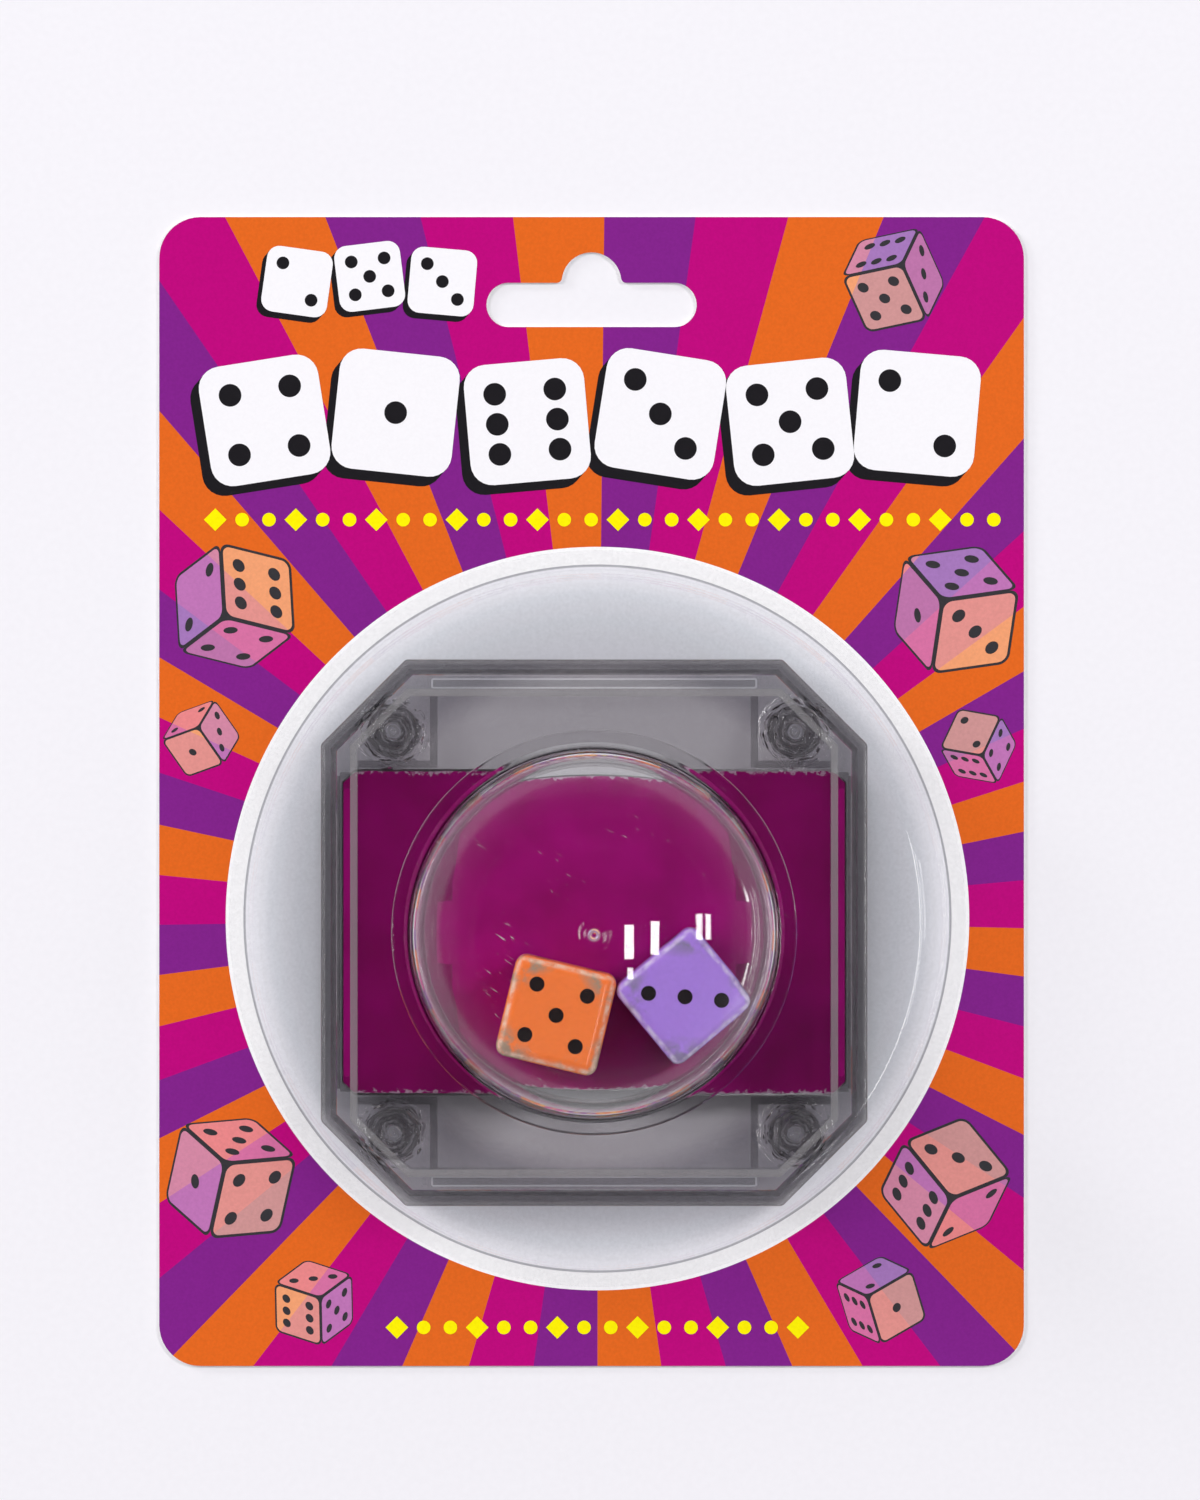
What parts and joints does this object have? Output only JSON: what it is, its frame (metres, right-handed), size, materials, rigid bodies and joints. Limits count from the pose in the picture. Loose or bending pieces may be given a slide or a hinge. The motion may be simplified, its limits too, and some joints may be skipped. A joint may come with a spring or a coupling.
{
  "type": "pop-up dice game in a blister pack",
  "caption": "Carded blister pack holding a square pop-up dice popper with cut corners, a clear press-down dome, a bowed snap plate and loose dice.",
  "frame": {"origin": "centre of the card's back face, with the pack lying on its back", "axes": "+X to the reader's right, +Y towards the hang hole, +Z out of the card's face"},
  "size_m": [0.1332, 0.1772, 0.0388],
  "materials": {
    "printed_card": "gloss varnish",
    "clear_pet": "gloss",
    "smoky_styrene_base": "gloss",
    "smoky_styrene_housing": "gloss",
    "smoky_styrene_ring": "gloss",
    "spring_steel": "cold-rolled",
    "magenta_sheet": "satin",
    "clear_styrene": "gloss",
    "orange_resin": "gloss",
    "purple_resin": "gloss"
  },
  "bodies": {
    "pack": {"backing_card": "printed_card", "blister_shell": "clear_pet", "popper_base": "smoky_styrene_base", "popper_housing": "smoky_styrene_housing", "snap_plate": "spring_steel", "plate_cover": "magenta_sheet"},
    "dome_body": {"dome": "clear_styrene", "press_ring": "smoky_styrene_ring"},
    "orange_die_body": {"die_orange": "orange_resin"},
    "purple_die_body": {"die_purple": "purple_resin"}
  },
  "joints": [
    {"name": "dome_press", "type": "slide", "parent": "pack", "child": "dome_body", "axis": [0, 0, -1], "range_m": [0, 0.002], "stiffness_N_per_m": 1200, "springref_m": -0.0008, "deforming": ["snap_plate", "plate_cover"]},
    {"name": "die_orange_hop", "type": "slide", "parent": "pack", "child": "orange_die_body", "axis": [0, 0, 1], "range_m": [0, 0.0055]},
    {"name": "die_purple_hop", "type": "slide", "parent": "pack", "child": "purple_die_body", "axis": [0, 0, 1], "range_m": [0, 0.003]}
  ]
}
